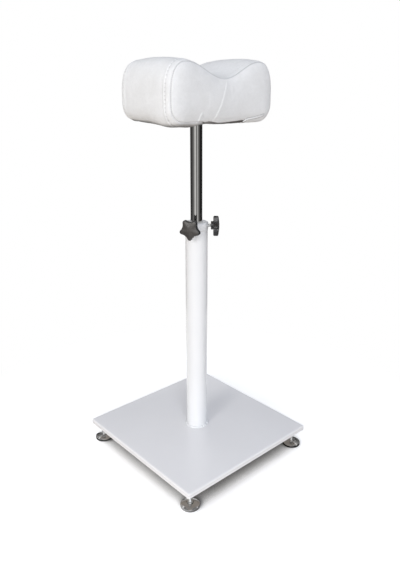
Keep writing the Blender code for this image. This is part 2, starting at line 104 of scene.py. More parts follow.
class NodeWriter:
    """Adds nodes to a tree. An input is a plain value, or the socket or node that feeds it."""

    def __init__(self, tree):
        self.tree = tree

    def fill(self, target, value):
        if isinstance(value, bpy.types.Node):
            value = value.outputs[0]
        if isinstance(value, bpy.types.NodeSocket):
            self.tree.links.new(value, target)
        else:
            target.default_value = value

    def add(self, kind, inputs=None, **settings):
        node = self.tree.nodes.new(kind)
        for key, value in settings.items():
            setattr(node, key, value)
        for key, value in (inputs or {}).items():
            self.fill(node.inputs[key], value)
        return node

    def ramp(self, value, low, high, out_low=0.0, out_high=1.0, **settings):
        """Takes low to out_low and high to out_high, level beyond."""
        values = {"Value": value, "From Min": low, "From Max": high, "To Min": out_low, "To Max": out_high}
        return self.add("ShaderNodeMapRange", values, **settings).outputs["Result"]

    def math(self, operation, a, b=0.0):
        return self.add("ShaderNodeMath", {0: a, 1: b}, operation=operation).outputs[0]

    def times(self, a, b):
        return self.math("MULTIPLY", a, b)

    def mix(self, factor, a, b):
        """Mixes two colours, each a socket or its red, green and blue."""
        a, b = ((*c, 1) if isinstance(c, tuple) else c for c in (a, b))
        return self.add("ShaderNodeMix", {0: factor, 6: a, 7: b}, data_type="RGBA").outputs[2]

    def mix_shaders(self, share, a, b):
        return self.add("ShaderNodeMixShader", {0: share, 1: a, 2: b})

    def attribute(self, name):
        return self.add("ShaderNodeAttribute", attribute_name=name).outputs["Fac"]

    def ray_share(self):
        """1 for rays that show the background, 0 for those that light the object."""
        path = self.add("ShaderNodeLightPath").outputs
        seen = self.math("MAXIMUM", path["Is Camera Ray"], path["Is Glossy Ray"])
        return self.math("MAXIMUM", seen, path["Is Transmission Ray"])


class Shader(NodeWriter):
    """A Principled material and the nodes that feed it. Textures use object coordinates, which are metres."""

    def __init__(self, name, colour, roughness, metallic=0.0):
        self.material = bpy.data.materials.new(name)
        self.material.use_nodes = True
        self.material.diffuse_color = (*colour, 1)
        super().__init__(self.material.node_tree)
        self.shader = self.tree.nodes["Principled BSDF"]
        self.colour = colour
        self.feed("Base Color", (*colour, 1))
        self.feed("Roughness", roughness)
        self.feed("Metallic", metallic)
        self.place = self.add("ShaderNodeTexCoord").outputs["Object"]

    def feed(self, key, value):
        self.fill(self.shader.inputs[key], value)

    def stretched(self, x, y, z):
        return self.add("ShaderNodeMapping", {"Vector": self.place, "Scale": (x, y, z)})

    def noise(self, scale, detail=2.0, rough=0.5, distortion=0.0, place=None):
        """scale: features in a metre."""
        values = {"Vector": place or self.place, "Scale": scale, "Detail": detail, "Roughness": rough}
        return self.add("ShaderNodeTexNoise", {**values, "Distortion": distortion}).outputs[0]

    def cells(self, scale):
        """Distance from the edges of uneven cells."""
        values = {"Vector": self.place, "Scale": scale}
        return self.add("ShaderNodeTexVoronoi", values, feature="DISTANCE_TO_EDGE").outputs["Distance"]

    def spread(self, pattern, low=0.0, high=1.0):
        """Noise, which lies mostly between 0.3 and 0.7, spread over low to high."""
        return self.ramp(pattern, 0.3, 0.7, low, high)

    def bump(self, *layers):
        """layers: (height, strength, distance in metres), the first one underneath."""
        normal = None
        for height, strength, distance in layers:
            values = {"Height": height, "Strength": strength, "Distance": distance}
            if normal is not None:
                values["Normal"] = normal
            normal = self.add("ShaderNodeBump", values).outputs[0]
        self.feed("Normal", normal)


def level_way(degrees):
    """A level direction, turned from +X."""
    return math.cos(math.radians(degrees)), math.sin(math.radians(degrees)), 0


def tint(colour, share, shift=(1, 1, 1)):
    return tuple(min(1.0, c * share * s) for c, s in zip(colour, shift))


SHADE_LINE_FULL, SHADE_LINE_END = 0.0003, 0.0009  # half the painted shade line, full and with its fade


def white_coat(name, colour, shade_line_height=None):
    """Satin powder coat: orange peel, faint mottling and a duller bloom here and there.
    hem: height of a line of painted shade along a folded edge."""
    m = Shader(name, colour, 0.20)
    mottle = m.ramp(m.noise(16, 3), 0.35, 0.65)
    bloom = m.ramp(m.noise(9, 3, 0.5, 0.6), 0.40, 0.75)
    coat = m.mix(mottle, tint(colour, 0.993), tint(colour, 1.005))
    # Painted shade: the coat is darker along a line at that height, on the folded edge.
    if shade_line_height:
        up = m.add("ShaderNodeSeparateXYZ", {0: m.place}).outputs["Z"]
        above = m.ramp(up, shade_line_height - SHADE_LINE_END, shade_line_height - SHADE_LINE_FULL)
        line = m.times(above, m.ramp(up, shade_line_height + SHADE_LINE_FULL, shade_line_height + SHADE_LINE_END, 1.0, 0.0))
        coat = m.mix(m.times(line, 0.30), coat, tint(colour, 0.55))
    m.feed("Base Color", coat)
    even = m.spread(m.noise(260, 3), 0.17, 0.21)
    m.feed("Roughness", m.math("ADD", even, m.times(bloom, 0.03)))
    m.bump((m.noise(430, 2, 0.4), 0.03, 0.0006), (m.noise(1500, 1), 0.02, 0.0002))
    return m.material


def chrome(name, colour, roughness, lines):
    """Bright plating over polished steel: fine polishing lines and a little haze.
    lines: how many of them a metre crosses along X, Y and Z."""
    m = Shader(name, colour, roughness, 1.0)
    streak = m.noise(1, 3, 0.6, place=m.stretched(*lines))
    haze = m.noise(70, 4, 0.6)
    polish = m.spread(streak, roughness * 0.7, roughness * 1.3)
    m.feed("Roughness", m.math("ADD", polish, m.ramp(haze, 0.45, 0.75, 0.0, 0.03)))
    m.feed("Base Color", m.mix(m.ramp(haze, 0.4, 0.7), colour, tint(colour, 0.93)))
    m.bump((streak, 0.03, 0.0002))
    return m.material


def zinc():
    """Zinc plate: bluish, softly blotched, dull in places."""
    m = Shader("zinc", (0.78, 0.79, 0.80), 0.30, 1.0)
    blotch = m.noise(240, 4, 0.6)
    bright, dull = tint(m.colour, 1.08), tint(m.colour, 0.82, (1, 0.99, 0.96))
    m.feed("Base Color", m.mix(m.ramp(blotch, 0.35, 0.7), bright, dull))
    m.feed("Roughness", m.ramp(blotch, 0.3, 0.75, 0.22, 0.42))
    m.bump((m.noise(1800, 2), 0.08, 0.0002))
    return m.material


def black_plastic(name, degrees):
    """Moulded nylon: a lighter grey face square to the knob's axis, darker glossier black lobes round it."""
    m = Shader(name, (0.034, 0.030, 0.027), 0.46)
    m.feed("Specular IOR Level", 0.75)
    ways = {0: m.add("ShaderNodeTexCoord").outputs["Normal"], 1: level_way(degrees)}
    facing = m.add("ShaderNodeVectorMath", ways, operation="DOT_PRODUCT").outputs["Value"]
    face = m.ramp(facing, 0.86, 0.985)
    rub = m.noise(140, 3)
    grey = m.mix(m.ramp(rub, 0.4, 0.75), m.colour, tint(m.colour, 1.5))
    m.feed("Base Color", m.mix(face, (0.020, 0.020, 0.021), grey))
    m.feed("Roughness", m.math("ADD", m.ramp(face, 0.0, 1.0, 0.26, 0.46), m.spread(rub, -0.03, 0.05)))
    m.bump((m.noise(3200, 2), 0.22, 0.0003), (m.noise(260, 2), 0.05, 0.0005))
    return m.material


FOLD_WAVER = 0.0007  # how far a fine fold strays from its line
FOLD_SLOPE = 0.009  # width over which it sinks back
SHARP_IN, SHARP_OUT = (-0.03, 0.15), (0.88, 1.03)  # shares of its length
FOLD_FRONT = (-0.068, -0.062)  # Y over which it fades behind the near panel


def sharp_fold(m, a, b, width):
    """Height of a fine fold on the near panel, from a to b in X and Z: a rise to the right of that line."""
    along = Vector(b) - Vector(a)
    length = along.length
    along /= length
    parts = m.add("ShaderNodeSeparateXYZ", {0: m.place}).outputs
    x = m.math("SUBTRACT", parts["X"], a[0])
    z = m.math("SUBTRACT", parts["Z"], a[1])
    share = m.math("ADD", m.times(x, along[0] / length), m.times(z, along[1] / length))
    across = m.math("ADD", m.times(x, -along[1]), m.times(z, along[0]))
    across = m.math("ADD", across, m.spread(m.noise(40, 2), -FOLD_WAVER, FOLD_WAVER))
    rise = m.times(m.ramp(across, -width, width), m.ramp(across, width, FOLD_SLOPE, 1.0, 0.0))
    ends = m.times(m.ramp(share, *SHARP_IN), m.ramp(share, *SHARP_OUT, 1.0, 0.0))
    front = m.ramp(parts["Y"], *FOLD_FRONT, 1.0, 0.0)
    return m.times(m.times(rise, ends), front)


def leatherette():
    """White leatherette: pebbled grain, soft blotches, fine folds, and painted shade in its seams and holes.
    Where the attribute "cloth" is 1, it is a dark grey-brown painted shade instead, below the near edge and
    underneath."""
    m = Shader("leatherette", (0.795, 0.80, 0.812), 0.50)
    pebble = m.ramp(m.cells(620), 0.0, 0.30)
    small = m.ramp(m.cells(1500), 0.0, 0.35)
    blotch = m.noise(46, 5, 0.6, 0.4)
    cloud = m.noise(190, 3, 0.6)
    worn, clean = tint(m.colour, 0.955, (1, 1, 0.995)), tint(m.colour, 1.025)
    base = m.mix(m.ramp(blotch, 0.35, 0.68), worn, clean)
    valley = m.times(m.ramp(pebble, 0.0, 1.0, 0.5, 0.0), m.spread(cloud))
    grained = m.mix(valley, base, tint(m.colour, 0.86))
    # Painted shade: grey dotted along the seam, and at the holes of the stitch row
    run = m.attribute("run")
    dots = m.math("SINE", m.times(run, math.tau / HOLE_PITCH))
    holes = m.math("COSINE", m.times(run, math.tau / STITCH_PITCH))
    seam_shade = m.times(m.attribute("shade"), m.ramp(dots, -1, 1, 0.7, 1.0))
    hole_shade = m.times(m.attribute("row"), m.ramp(holes, 0.2, 0.85, 0.08, 0.52))
    cover = m.mix(m.math("MAXIMUM", seam_shade, hole_shade), grained, (0.30, 0.30, 0.31))
    # Painted shade: dark grey-brown below the near edge and where the underside faces down
    underside_shade_colour = m.mix(m.spread(cloud), (0.040, 0.032, 0.027), (0.075, 0.060, 0.050))
    m.feed("Base Color", m.mix(m.attribute("cloth"), cover, underside_shade_colour))
    m.feed("Roughness", m.spread(cloud, 0.44, 0.58))
    sharp = 0.0
    for a, b, width, share in SHARP_FOLDS:
        sharp = m.math("MAXIMUM", sharp, m.times(sharp_fold(m, a, b, width), share))
    m.bump((blotch, 0.05, 0.0016), (sharp, 0.65, 0.0007), (pebble, 0.14, 0.0004), (small, 0.10, 0.0002))
    return m.material


def thread():
    """Spun thread: light and dark along its twist."""
    m = Shader("thread", (0.74, 0.74, 0.74), 0.62)
    twist = m.noise(1, 2, place=m.stretched(2600, 900, 2600))
    m.feed("Base Color", m.mix(m.ramp(twist, 0.35, 0.65), tint(m.colour, 0.80), tint(m.colour, 1.08)))
    m.bump((twist, 0.4, 0.0002))
    return m.material


def plywood():
    """Birch plywood: grain along the board, and the plies in its edge."""
    m = Shader("plywood", (0.62, 0.47, 0.29), 0.62)
    grain = m.noise(1, 5, 0.65, 0.6, m.stretched(18, 260, 30))
    values = {"Vector": m.stretched(0, 0, 1), "Scale": 105.0, "Distortion": 0.4}
    wave = m.add("ShaderNodeTexWave", values, wave_type="BANDS", bands_direction="Z")
    plies = m.times(wave.outputs["Fac"], 0.25)
    face = m.mix(m.spread(grain), tint(m.colour, 0.78, (1, 0.95, 0.88)), tint(m.colour, 1.14))
    m.feed("Base Color", m.mix(plies, face, (0.36, 0.23, 0.12)))
    m.feed("Roughness", m.spread(grain, 0.55, 0.72))
    m.bump((grain, 0.2, 0.0004))
    return m.material


def plain_moulding(name, colour, roughness, size):
    """Rubber, nylon or foam: a faint flow pattern and a matt skin."""
    m = Shader(name, colour, roughness)
    flow = m.noise(size, 3)
    m.feed("Base Color", m.mix(m.spread(flow), tint(colour, 0.86), tint(colour, 1.12)))
    m.feed("Roughness", m.spread(flow, roughness - 0.06, roughness + 0.06))
    m.bump((m.noise(2400, 2), 0.15, 0.0002))
    return m.material


# Two copies of one powder coat: the pan's is lighter, painted light for its top, and the column's is bluer,
# painted cool light.
WHITE_COAT = white_coat("white_coat", (0.797, 0.802, 0.815))
LIGHTER_PAN_COAT = white_coat("white_coat_pan_lighter", (0.852, 0.843, 0.852), shade_line_height=PAN_TOP - 0.0045)
TUBE_CHROME = chrome("tube_chrome", (0.72, 0.71, 0.69), 0.045, (700, 700, 6))
# The feet's chrome is a darker copy of the tube's: painted shade for the discs under the pan.
FOOT_CHROME = chrome("foot_chrome", (0.66, 0.655, 0.65), 0.08, (260, 260, 900))
ZINC = zinc()
KNOB_PLASTIC = {name: black_plastic(f"black_plastic_{name}", turn) for name, turn in KNOB_TURNS.items()}
LEATHERETTE = leatherette()
THREAD = thread()
PLYWOOD = plywood()
RUBBER = plain_moulding("rubber", (0.030, 0.030, 0.030), 0.72, 300)
NYLON = plain_moulding("nylon", (0.70, 0.68, 0.62), 0.45, 120)
FOAM = plain_moulding("foam", (0.80, 0.74, 0.54), 0.90, 900)

# What each CAD node is finished with, by the start of its name
FINISHES = {
    "base_pan": LIGHTER_PAN_COAT, "column": WHITE_COAT, "guide_bush": NYLON, "inner_tube": TUBE_CHROME,
    "seat_flange": ZINC, "flange": ZINC, "cushion_board": PLYWOOD, "foam_core": FOAM,
    "cushion_cover": LEATHERETTE, "foot_nut": ZINC, "foot_stud": ZINC, "foot_disc": FOOT_CHROME,
    "foot_pad": RUBBER, "clamp_stud": ZINC, "clamp_knob_front": KNOB_PLASTIC["front"],
    "clamp_knob_side": KNOB_PLASTIC["side"],
}
SHARP_EDGE = math.radians(32)
WELD_DISTANCE = 0.000005


def smooth_by_angle():
    """Node group that shades a solid smoothly, except over its sharp edges."""
    tree = bpy.data.node_groups.new("smooth_by_angle", "GeometryNodeTree")
    for way in ("INPUT", "OUTPUT"):
        tree.interface.new_socket("Geometry", in_out=way, socket_type="NodeSocketGeometry")
    n = NodeWriter(tree)
    weld = n.add("GeometryNodeMergeByDistance", {0: n.add("NodeGroupInput"), "Distance": WELD_DISTANCE})
    bend = n.add("GeometryNodeInputMeshEdgeAngle").outputs["Unsigned Angle"]
    values = {"Mesh": weld, "Remove Custom": True, "Face Sharpness": False}
    values["Edge Sharpness"] = n.math("GREATER_THAN", bend, SHARP_EDGE)
    n.add("NodeGroupOutput", {0: n.add("GeometryNodeSetMeshNormal", values, mode="SHARPNESS")})
    return tree


SMOOTH = smooth_by_angle()
for name, node in nodes.items():
    node.data.materials.clear()
    node.data.materials.append(next(finish for start, finish in FINISHES.items() if name.startswith(start)))
    node.modifiers.new("smooth", "NODES").node_group = SMOOTH


# Meshes

def shade_smooth(mesh):
    mesh.polygons.foreach_set("use_smooth", [True] * len(mesh.polygons))


def new_object(name, data):
    obj = bpy.data.objects.new(name, data)
    bpy.context.scene.collection.objects.link(obj)
    return obj


def piece(name, points, faces, material, body=None):
    mesh = bpy.data.meshes.new(name)
    mesh.from_pydata([tuple(p) for p in points], [], [tuple(f) for f in faces])
    mesh.materials.append(material)
    shade_smooth(mesh)
    mesh.update()
    obj = new_object(name, mesh)
    if body:
        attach(obj, body)
    return obj


def read_points(mesh):
    """The places of a mesh's points, and their normals."""
    both = np.zeros((2, len(mesh.vertices) * 3))
    mesh.vertices.foreach_get("co", both[0])
    mesh.vertices.foreach_get("normal", both[1])
    return both.reshape(2, -1, 3)


def put_points(obj, points):
    obj.data.vertices.foreach_set("co", points.astype(np.float32).ravel())
    obj.data.update()


def put_attribute(obj, key, values):
    layer = obj.data.attributes.new(key, "FLOAT", "POINT")
    layer.data.foreach_set("value", np.array(values, np.float32))


def fix_normals(obj):
    work = bmesh.new()
    work.from_mesh(obj.data)
    bmesh.ops.recalc_face_normals(work, faces=work.faces)
    work.to_mesh(obj.data)
    work.free()


def tube_ring(centre, up, across, radius, sides):
    angles = [math.tau * side / sides for side in range(sides)]
    return [centre + up * (radius * math.sin(a)) + across * (radius * math.cos(a)) for a in angles]


def loop_faces(a, b, count):
    """Faces between two closed loops of points, which count from a and from b."""
    return [(a + k, a + (k + 1) % count, b + (k + 1) % count, b + k) for k in range(count)]


def tube_faces(steps, sides, first=0):
    """Faces of a tube of steps + 1 loops, whose points count from first, with a cap on each end."""
    faces = []
    for ring in range(steps):
        faces += loop_faces(first + ring * sides, first + (ring + 1) * sides, sides)
    faces.append(tuple(first + k for k in reversed(range(sides))))
    faces.append(tuple(first + steps * sides + k for k in range(sides)))
    return faces


def step(value, low, high):
    """Smooth rise from 0 to 1."""
    t = np.clip((value - low) / (high - low), 0, 1)
    return t * t * (3 - 2 * t)


def bell(value, width):
    return np.exp(-((value / width) ** 2))


def wavering(points, size, seed):
    """Smooth noise from -1 to 1 at each point, with features of that size in metres."""
    return np.array([noise.noise(Vector(p) / size + Vector((seed, seed * 1.7, seed * 2.3))) for p in points])


# The cushion: two profile panels and the band between them

OPENING_STEPS = 16  # between points, from under the middle
SOLE_STEPS = 5
CORNER_STEPS = 14
SIDE_STEPS = 2
SHOULDER_STEPS = 18
SADDLE_STEPS = 26
CORNER_POWER = 2.6  # 2 is elliptical, more is squarer
SHOULDER_POWER = 2.4
SHOULDER = 0.052  # height of the rounding up to a hump
LOWER_EDGE = 0.0815  # half the length that has a line of its own
HAIR = 1e-6  # a distance too small to count


def quarter(centre, radius, power, start, end, count):
    """Points on a squared-off ellipse between two angles, without the first."""
    angle = np.radians(np.linspace(start, end, count + 1)[1:])
    across = np.sign(np.cos(angle)) * np.abs(np.cos(angle)) ** (2 / power)
    up = np.sign(np.sin(angle)) * np.abs(np.sin(angle)) ** (2 / power)
    return [(centre[0] + radius[0] * a, centre[1] + radius[1] * u) for a, u in zip(across, up)]


def half_outline(end, top, dip, bottom):
    """One half of the profile, from under its middle, round the end, over the hump and down into the dip."""
    flat = end - BOTTOM_CORNER
    low, high = bottom + BOTTOM_CORNER, top - SHOULDER
    points = [(x, bottom) for x in np.linspace(0, OPENING_X, OPENING_STEPS + 1)]
    points += [(x, bottom) for x in np.linspace(OPENING_X, flat, SOLE_STEPS + 1)[1:]]
    points += quarter((flat, low), (BOTTOM_CORNER, BOTTOM_CORNER), CORNER_POWER, -90, 0, CORNER_STEPS)
    points += [(end, low + (high - low) * (k + 1) / SIDE_STEPS) for k in range(SIDE_STEPS)]
    points += quarter((HUMP, high), (end - HUMP, top - high), SHOULDER_POWER, 0, 90, SHOULDER_STEPS)
    for k in range(1, SADDLE_STEPS + 1):
        x = HUMP * (1 - k / SADDLE_STEPS)
        points.append((x, top - (top - dip) * (1 + math.cos(math.pi * x / HUMP)) / 2))
    return points


def outline(left, right, dip, bottom):
    """The whole profile, anticlockwise seen from the front.
    left, right: (end, top) of each half; bottom: (x, z) along the lower edge."""
    east = half_outline(*right, dip, bottom[-1][1])
    west = half_outline(*left, dip, bottom[0][1])
    points = np.array(east + [(-x, z) for x, z in reversed(west[1:-1])])
    x, z = points.T
    under = (z < max(bottom[0][1], bottom[-1][1]) + HAIR) & (np.abs(x) < LOWER_EDGE)
    points[under, 1] = np.interp(x[under], *zip(*bottom))
    return points


NEAR = outline((0.1133, 0.7556), (0.1145, 0.7566), 0.7304, [
    (-0.080, 0.6640), (-0.050, 0.6640), (-0.030, 0.6630), (-0.012, 0.6600), (0.010, 0.6606),
    (0.046, 0.6630), (0.056, 0.6612), (0.080, 0.6592),
])
FAR = outline((0.1118, 0.7556), (0.1150, 0.7560), 0.7306, [(-0.080, 0.6640), (0.080, 0.6640)])
MIDDLE = outline((0.1185, 0.7625), (0.1185, 0.7625), 0.7344, [
    (-0.080, 0.6555), (-0.062, 0.6540), (-0.050, 0.6560), (-0.036, 0.6610), (0.010, 0.6588),
    (0.045, 0.6579), (0.080, 0.6588),
])
AROUND = len(NEAR)
SPAN = 2 * SEAM_HALF

# Rows of points on the band and rings on the panels, by their distance from the seam
EDGE_ROWS = [0, 0.0009, 0.0020, 0.0036, 0.0060, 0.0085, 0.0095, 0.0105, 0.0120, 0.0145, 0.0175, 0.0205, 0.024]
BETWEEN = np.linspace(EDGE_ROWS[-1], SPAN - EDGE_ROWS[-1], 21)[1:-1]
ROWS = np.array([*EDGE_ROWS, *BETWEEN, *(SPAN - d for d in reversed(EDGE_ROWS))])
RINGS = [0.0009, 0.0020, 0.0036, 0.0060, 0.0092, 0.0130, 0.0170, 0.0210]
GRID_LOW, GRID_HIGH = 31, 50  # ring points at its right corners
GRID_MIDDLE = (0.70, 0.6985)  # share of X, and height, that rings shrink to
PANEL_CROWN = 0.0065
CROWN_REACH = 0.034  # from the seam to where the crown is full

# How the band swells: powers of its place, from -1 at the near seam to 1 at the far one
OUT_POWER_NEAR, OUT_POWER_FAR = 4, 8
UP_POWER = 2.6
DROP_LEFT, DROP_RIGHT, DROP_FAR = 7, 18, 4
DROP_CHANGE = (-0.03, -0.01)  # X from DROP_LEFT to DROP_RIGHT
SAG_ALL, SAG_FRONT = 0.45, 0.55  # shares of the drop
SAG_PLACE, SAG_WIDTH = -0.7, 0.5
UPPER_HALF = (0.668, 0.722)  # Z from where the band drops to where it rises


def measure_line(points, line):
    """Each point's distance from a line in the profile's plane, and its way along that line."""
    best = np.full(len(points), np.inf)
    run = np.zeros(len(points))
    before = 0.0
    for start, end in zip(line, line[1:]):
        vector = end - start
        share = np.clip(((points - start) @ vector) / (vector @ vector), 0, 1)
        away = np.linalg.norm(points - start - share[:, None] * vector, axis=1)
        closer = away < best
        best[closer] = away[closer]
        length = np.linalg.norm(vector)
        run[closer] = before + share[closer] * length
        before += length
    return best, run


def patch(ring):
    """A grid of points filling a ring, by transfinite interpolation between its four sides."""
    low, high = GRID_LOW, GRID_HIGH
    south = ring[np.arange(-low, low + 1)]
    north = ring[np.arange(AROUND - high, high - 1, -1)]
    west = ring[np.arange(AROUND - low, AROUND - high - 1, -1)]
    east = ring[np.arange(low, high + 1)]
    u = np.linspace(0, 1, len(south))[:, None, None]
    v = np.linspace(0, 1, len(west))[None, :, None]
    flat = (1 - v) * south[:, None] + v * north[:, None] + (1 - u) * west[None] + u * east[None]
    lower = (1 - u) * (1 - v) * south[0] + u * (1 - v) * south[-1]
    return flat - (lower + (1 - u) * v * north[0] + u * v * north[-1])


def band_points():
    """Points of the band, row by row, and their distances from the nearer seam."""
    points, reach = [], []
    for along in ROWS:
        s = along / SEAM_HALF - 1
        share = (1 + s) / 2
        ends = NEAR * (1 - share) + FAR * share
        outward = 1 - abs(s) ** (OUT_POWER_NEAR if s < 0 else OUT_POWER_FAR)
        upward = 1 - abs(s) ** UP_POWER
        drop = DROP_FAR
        if s < 0:
            drop = DROP_LEFT + (DROP_RIGHT - DROP_LEFT) * step(ends[:, 0], *DROP_CHANGE)
        downward = (1 - abs(s) ** drop) * (SAG_ALL + SAG_FRONT * bell(s - SAG_PLACE, SAG_WIDTH))
        high = step(ends[:, 1], *UPPER_HALF)
        swell = np.column_stack([np.full(AROUND, outward), downward * (1 - high) + upward * high])
        profile = ends + (MIDDLE - (NEAR + FAR) / 2) * swell
        y = SEAM_MIDDLE + s * SEAM_HALF
        points += [(x, y, z) for x, z in profile]
        reach += [min(along, SPAN - along)] * AROUND
    return points, reach


def band_faces():
    """Faces of the band, which is open below, at the board."""
    faces = []
    for row in range(len(ROWS) - 1):
        inside = EDGE_ROWS[-1] - HAIR < ROWS[row] and ROWS[row + 1] < SPAN - EDGE_ROWS[-1] + HAIR
        near, far = row * AROUND, (row + 1) * AROUND
        for t in range(AROUND):
            if inside and (t < OPENING_STEPS or t >= AROUND - OPENING_STEPS):
                continue
            n = (t + 1) % AROUND
            faces.append((near + t, far + t, far + n, near + n))
    return faces


def panel(seam, first, start):
    """Points inside a seam, as rings and then a grid, and their faces, turned as on the near side.
    first and start: numbers of the seam's and of the panel's first point."""
    target = np.column_stack([seam[:, 0] * GRID_MIDDLE[0], np.full(AROUND, GRID_MIDDLE[1])])
    pull = target - seam
    pull /= np.linalg.norm(pull, axis=1)[:, None]
    rings = [seam + pull * d for d in RINGS]
    inner = patch(rings[-1])
    wide, tall = inner.shape[:2]
    loops = [first] + [start + k * AROUND for k in range(len(rings))]
    grid_start = start + len(rings) * AROUND

    def at(i, j):
        if j == 0:
            return loops[-1] + (i - GRID_LOW) % AROUND
        if j == tall - 1:
            return loops[-1] + AROUND - GRID_HIGH - i
        if i == 0:
            return loops[-1] + AROUND - GRID_LOW - j
        if i == wide - 1:
            return loops[-1] + GRID_LOW + j
        return grid_start + i * tall + j

    faces = []
    for outer, within in zip(loops, loops[1:]):
        faces += loop_faces(outer, within, AROUND)
    for i in range(wide - 1):
        for j in range(tall - 1):
            faces.append((at(i, j), at(i + 1, j), at(i + 1, j + 1), at(i, j + 1)))
    return np.concatenate([*rings, inner.reshape(-1, 2)]), faces


def cushion_skin():
    """Points, faces and each point's distance from the nearer seam, which is under 0 on a panel."""
    points, reach = band_points()
    faces = band_faces()
    for side, seam, row in ((-1, NEAR, 0), (1, FAR, len(ROWS) - 1)):
        flat, quads = panel(seam, row * AROUND, len(points))
        depth = measure_line(flat, np.vstack([seam, seam[:1]]))[0]
        crown = PANEL_CROWN * (1 - (1 - np.minimum(depth, CROWN_REACH) / CROWN_REACH) ** 3)
        y = SEAM_MIDDLE + side * (SEAM_HALF + crown)
        points += list(zip(flat[:, 0], y, flat[:, 1]))
        reach += list(-depth)
        faces += quads if side < 0 else [tuple(reversed(q)) for q in quads]
    return np.array(points), faces, np.array(reach)


def drop_loose(points, faces, reach):
    """The same skin without the points that no face uses."""
    used = sorted({i for f in faces for i in f})
    new = {old: k for k, old in enumerate(used)}
    return points[used], [tuple(new[i] for i in f) for f in faces], reach[used]


STUFFING = {
    "quality": 5, "mass": 0.25, "tension_stiffness": 22, "compression_stiffness": 22, "shear_stiffness": 8,
    "bending_stiffness": 1.2, "use_pressure": True, "uniform_pressure_force": 4, "vertex_group_mass": "held",
}
FRAMES = 20
STUFFING_CAP = 0.006  # the furthest that a point may move
FIXED_BELOW = 0.668  # Z of the cover that is fixed to the board
MARGIN = 0.001


def inflate(obj, reach):
    """Stuffs the cover: cloth under pressure, held along its seams and where it is fixed below."""
    held = obj.vertex_groups.new(name="held")
    start = read_points(obj.data)[0]
    x, y, z = start.T
    opening = (np.abs(x) < OPENING_X + MARGIN) & (np.abs(y - SEAM_MIDDLE) < OPENING_Y + MARGIN)
    for index in np.nonzero((np.abs(reach) < HAIR) | (opening & (z < FIXED_BELOW)))[0]:
        held.add([int(index)], 1.0, "REPLACE")
    cloth = obj.modifiers.new("stuffing", "CLOTH")
    for key, value in STUFFING.items():
        setattr(cloth.settings, key, value)
    cloth.settings.effector_weights.gravity = 0
    cloth.collision_settings.use_collision = False
    cloth.point_cache.frame_start = 1
    cloth.point_cache.frame_end = FRAMES
    scene = bpy.context.scene
    for number in range(1, FRAMES + 1):
        scene.frame_set(number)
    graph = bpy.context.evaluated_depsgraph_get()
    moved = read_points(obj.evaluated_get(graph).to_mesh())[0] - start
    length = np.linalg.norm(moved, axis=1)
    obj.modifiers.remove(cloth)
    scene.frame_set(1)
    put_points(obj, start + moved * np.minimum(1, STUFFING_CAP / np.maximum(length, 1e-9))[:, None])


def subdivide(obj):
    """One subdivision, applied, so that it can take the finest folds."""
    modifier = obj.modifiers.new("finer", "SUBSURF")
    modifier.levels = modifier.render_levels = 1
    graph = bpy.context.evaluated_depsgraph_get()
    finer = bpy.data.meshes.new_from_object(obj.evaluated_get(graph))
    obj.modifiers.remove(modifier)
    obj.data = finer


FADE_IN, FADE_OUT = (-0.05, 0.25), (0.70, 1.05)  # shares of a fold's length
FOLD_TAIL = 8  # times its width, over which a fold sinks back


def fold(points, a, b, width, height):
    """A lap in the cover from a to b: a quick rise that sinks back slowly and fades at both ends."""
    a, b = np.array(a), np.array(b)
    length = np.linalg.norm(b - a)
    along = (b - a) / length
    flat = points[:, [0, 2]] - a
    share = (flat @ along) / length
    across = flat @ np.array([-along[1], along[0]])
    fade = step(share, *FADE_IN) * (1 - step(share, *FADE_OUT))
    return height * fade * step(across, -width, width) * np.exp(-np.maximum(across, 0) / (FOLD_TAIL * width))


# Where details of the cover begin and are full: X, Z, or distance from the seam
UNDER_X, UNDER_Z = (-0.048, -0.032), (0.668, 0.684)  # where the near seam turns under
EDGE_SHADE_X, EDGE_SHADE_END_X, EDGE_SHADE_REACH = (-0.034, -0.020), (0.050, 0.058), (0.0002, 0.0012)  # painted shade strip below the near panel's edge
WRAP_X, WRAP_REACH = (0.045, 0.055), (0.010, 0.016)  # the cover that wraps the near right corner
# Painted shade underneath: where the skin faces down, and below this height
FACING_DOWN = (0.70, 1.0)
UNDERSIDE_SHADE_TOP_Z = (0.6645, 0.6665)
STRIP_Z = (0.655, 0.664)  # strip and stitches begin above these
STRIP_REACH, STRIP_END = (0.0006, 0.0024), (ALLOWANCE - 0.004, ALLOWANCE)
CALM_X, CALM_Z = (-0.085, -0.055), (0.69, 0.72)  # the strip is flatter over the top
TOP_X, TOP_Z = (-0.095, -0.060), (0.700, 0.735)  # darker painted shade in the seam, fainter in the holes
SHADE_Z = (0.667, 0.682)
PANEL_REACH = -0.001  # folds begin this far inside a panel

# Heights, depths and widths of these details, in metres
UNDER_TURN, UNDER_DEPTH = 0.012, 0.0016  # of the near seam
SEAM_DEPTH, SEAM_WIDTH = 0.0013, 0.0008
STRIP_RISE = 0.0012
ROW_DEPTH, ROW_PULL, ROW_WIDTH = 0.0009, 0.0003, 0.0012
PUCKER_HEIGHT, PUCKER_REACH, PUCKER_WIDTH = 0.00035, 0.006, 0.007
PUCKER_SIZE, PUCKER_SEED = 0.009, 3.1
WAVES = [(0.0004, 0.050, 8.4), (0.00010, 0.016, 5.5)]  # height, size and seed
DARK_WIDTH = 0.0010  # of the painted shade in the seam, and at the holes
BESIDE_FOLD, BESIDE_WIDTH = 0.0018, 0.0008  # painted shade lines beside the corner fold

# Shares of these details
# Darkness of the painted shade where the underside faces down
UNDERSIDE_SHADE = 0.9
CALM_SHARE = 0.65
SHADE_ALL, SHADE_TOP, SHADE_FOLD = 0.50, 0.25, 0.75
SHADE_LOW, SHADE_HIGH = 0.35, 0.65
TOP_FAINTER, FAR_ROW = 0.7, 0.5


